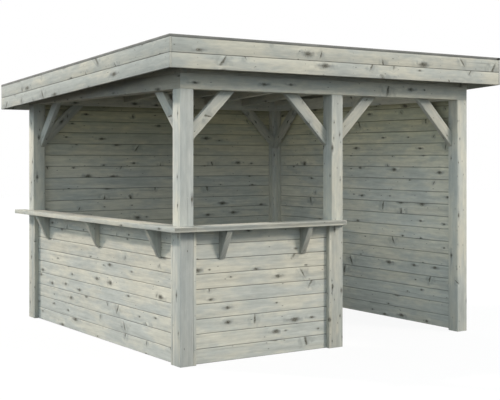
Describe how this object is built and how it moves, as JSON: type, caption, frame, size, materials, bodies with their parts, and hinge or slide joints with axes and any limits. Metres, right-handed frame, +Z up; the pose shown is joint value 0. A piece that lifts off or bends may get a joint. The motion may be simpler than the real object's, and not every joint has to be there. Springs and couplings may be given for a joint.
{
  "type": "timber garden bar",
  "caption": "Open timber garden bar with a low-pitched roof on square posts, boarded back and side walls, and an L-shaped bracketed counter on bar-height walls.",
  "frame": {"origin": "middle of the roof outline seen from above, at ground level under the post feet", "axes": "+X runs along the front from the bar corner towards the doorway, +Y runs from the open front to the boarded back wall, +Z is up from the ground"},
  "size_m": [3.52, 3.52, 2.55],
  "materials": {
    "frame_timber": "sawn pressure-treated softwood posts, beams, braces and rafters, weathered",
    "board_timber": "planed pressure-treated softwood boards and battens, weathered grey-green",
    "fascia_timber": "planed pressure-treated softwood fascia boards, weathered grey-green",
    "counter_timber": "planed pressure-treated softwood counter boards and brackets, weathered",
    "roof_trim": "folded sheet-metal edge trim, dark grey coating, matt",
    "roof_sheet": "mineral-surfaced bitumen roofing, dark grey, rough"
  },
  "bodies": {
    "root": {"post_front_left": "frame_timber", "post_front_middle": "frame_timber", "post_front_right": "frame_timber", "post_back_left": "frame_timber", "post_back_right": "frame_timber", "beam_front": "frame_timber", "beam_back": "frame_timber", "beam_left": "frame_timber", "beam_right": "frame_timber", "braces_front": "frame_timber", "braces_back": "frame_timber", "braces_left": "frame_timber", "braces_right": "frame_timber", "roof_plate_front": "frame_timber", "roof_gable_left": "frame_timber", "roof_gable_right": "frame_timber", "rafters": "frame_timber", "roof_deck": "board_timber", "roofing": "roof_sheet", "roof_trim_front": "roof_trim", "roof_trim_back": "roof_trim", "roof_trim_left": "roof_trim", "roof_trim_right": "roof_trim", "fascia_front_upper": "fascia_timber", "fascia_front_lower": "fascia_timber", "fascia_back_upper": "fascia_timber", "fascia_back_lower": "fascia_timber", "fascia_left_upper": "fascia_timber", "fascia_left_lower": "fascia_timber", "fascia_right_upper": "fascia_timber", "fascia_right_lower": "fascia_timber", "back_wall": "board_timber", "right_wall": "board_timber", "bar_wall_front": "board_timber", "bar_wall_left": "board_timber", "battens_front": "board_timber", "battens_left": "board_timber", "battens_back": "board_timber", "battens_right": "board_timber", "counter_front": "counter_timber", "counter_left": "counter_timber", "brackets_front": "counter_timber", "brackets_left": "counter_timber"}
  },
  "joints": []
}
